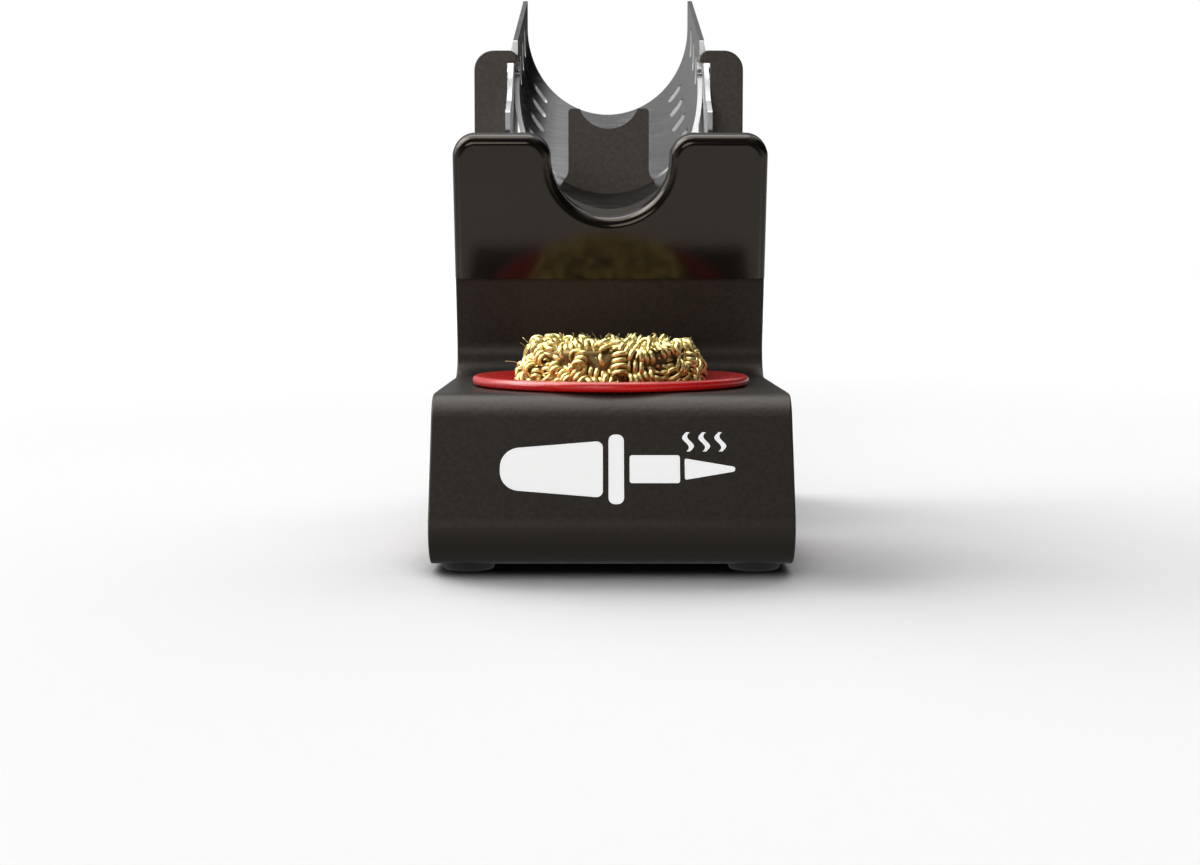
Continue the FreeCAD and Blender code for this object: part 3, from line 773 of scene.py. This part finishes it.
def make_sun(name, toward, softness, shade, shine):
    """A soft light from so far away that the floor is evenly lit; toward points from it.
    It falls on matt surfaces with the strength shade, and shows in glossy ones with shine."""
    for part, strength in (("shade", shade), ("shine", shine)):
        data = bpy.data.lights.new(name + "_" + part, "SUN")
        data.angle = math.radians(softness)
        data.energy = strength
        light = into_scene(name + "_" + part, data)
        light.rotation_euler = Vector(toward).to_track_quat("-Z", "Y").to_euler()
        light.visible_diffuse = part == "shade"
        light.visible_glossy = part == "shine"


def backdrop_glow(tree, x, y, z):
    """The light from the backdrop: strongest behind the stand, none from below, and with a
    dark part on the right just over the horizon."""
    sideways = add(tree, "ValToRGB", {"Fac": between(tree, x, 0.0, 1.0, start=-1.0, end=1.0)})
    ramp = sideways.color_ramp
    while len(ramp.elements) < len(BACKDROP):
        ramp.elements.new(0.5)
    for stop, (at, level) in zip(ramp.elements, BACKDROP):
        stop.position = (at + 1) / 2
        stop.color = grey(level)
    rearward = between(tree, y, 0.2, 1.0, start=-0.5, end=0.2)
    upward = between(tree, z, 0.0, 1.0, start=-0.1, end=0.08)
    dark_right = combine(tree, "MAXIMUM", between(tree, x, 1.0, 0.0, start=-0.02, end=0.08),
                         between(tree, z, 1.0, 0.0, start=0.05, end=0.10))
    high = between(tree, z, 0.0, 1.0, start=0.28, end=0.5)
    return combine(tree, "MULTIPLY", sideways.outputs["Color"], rearward, upward,
                   blend(tree, high, dark_right, 1.0))


def light_around(tree, x, y, z):
    """The glow of the backdrop, with light from above, low at the sides and from a band below
    the horizon."""
    above = between(tree, z, 0.0, 0.8, start=0.72, end=0.95)
    band = combine(tree, "MULTIPLY", between(tree, z, 0.75, 0.0, start=-0.40, end=-0.26),
                   between(tree, z, 0.0, 1.0, start=-0.60, end=-0.50))
    aside = add(tree, "Math", {0: x}, operation="ABSOLUTE").outputs[0]
    beside = combine(tree, "MULTIPLY", between(tree, aside, 0.0, 0.7, start=0.45, end=0.8),
                     between(tree, z, 1.0, 0.0, start=-0.05, end=0.15))
    return combine(tree, "ADD", backdrop_glow(tree, x, y, z), above, band, beside)


def make_world():
    """A white backdrop to look at. The light it casts has its own shape: glossy surfaces show
    all of it and matt ones get a dim share, while the light from below is the same for both."""
    world = bpy.data.worlds.new("studio")
    bpy.context.scene.world = world
    world.use_nodes = True
    tree = world.node_tree
    x, y, z = axes(tree, add(tree, "TexCoord").outputs["Generated"])
    ray = add(tree, "LightPath").outputs
    share = between(tree, ray["Is Glossy Ray"], MATT_SHARE, 1.0, start=0.0, end=1.0)
    around = combine(tree, "MULTIPLY", light_around(tree, x, y, z), share)
    below = between(tree, z, 0.26, 0.0, start=-0.42, end=-0.28)
    cast = combine(tree, "ADD", around, below)
    strength = blend(tree, ray["Is Camera Ray"], cast, 1.0)
    fill(tree, tree.nodes["Background"], {"Color": grey(1), "Strength": strength})


# ---- the whole stand ----------------------------------------------------------------
def dress_frame():
    """A finish for each CAD node, except the wool, which make_wool replaces."""
    coat = powder_coat("powder_coat", albedo=0.030, cell_depth=0.045 * MM)
    bracket = brushed_steel("brushed_bracket", (1.0, 0.03, 1.0), lightest=0.52,
                            depth=0.003 * MM, rough=0.36)
    zinc = plated_steel()
    rubber = foot_rubber()
    dress("base_shell", coat)
    # The rear support gets a lighter copy of the base's coat.
    dress("rear_support", powder_coat("support_coat", albedo=0.066, cell_depth=0.03 * MM))
    dress("rest_cover", gloss_plastic())
    dress("cover_screws", black_oxide())
    dress("cleaner_dish", red_silicone())
    dress("tool_cradle", trough_steel())
    dress("cradle_rivets", brushed_steel("rivet_steel", (0.2, 1.0, 1.0), lightest=0.7))
    for side in ("left", "right"):
        dress("cradle_bracket_" + side, bracket)
        dress("foot_front_" + side, rubber)
        dress("foot_rear_" + side, rubber)
    for fastener in ("flange_screws", "flange_washers", "flange_nuts"):
        dress(fastener, zinc)


bpy.context.scene.view_settings.view_transform = "Standard"
make_camera()
dress_frame()
make_wool()
make_front_mark(white_ink())
make_floor()
make_world()
for sun in SUNS:
    make_sun(*sun)
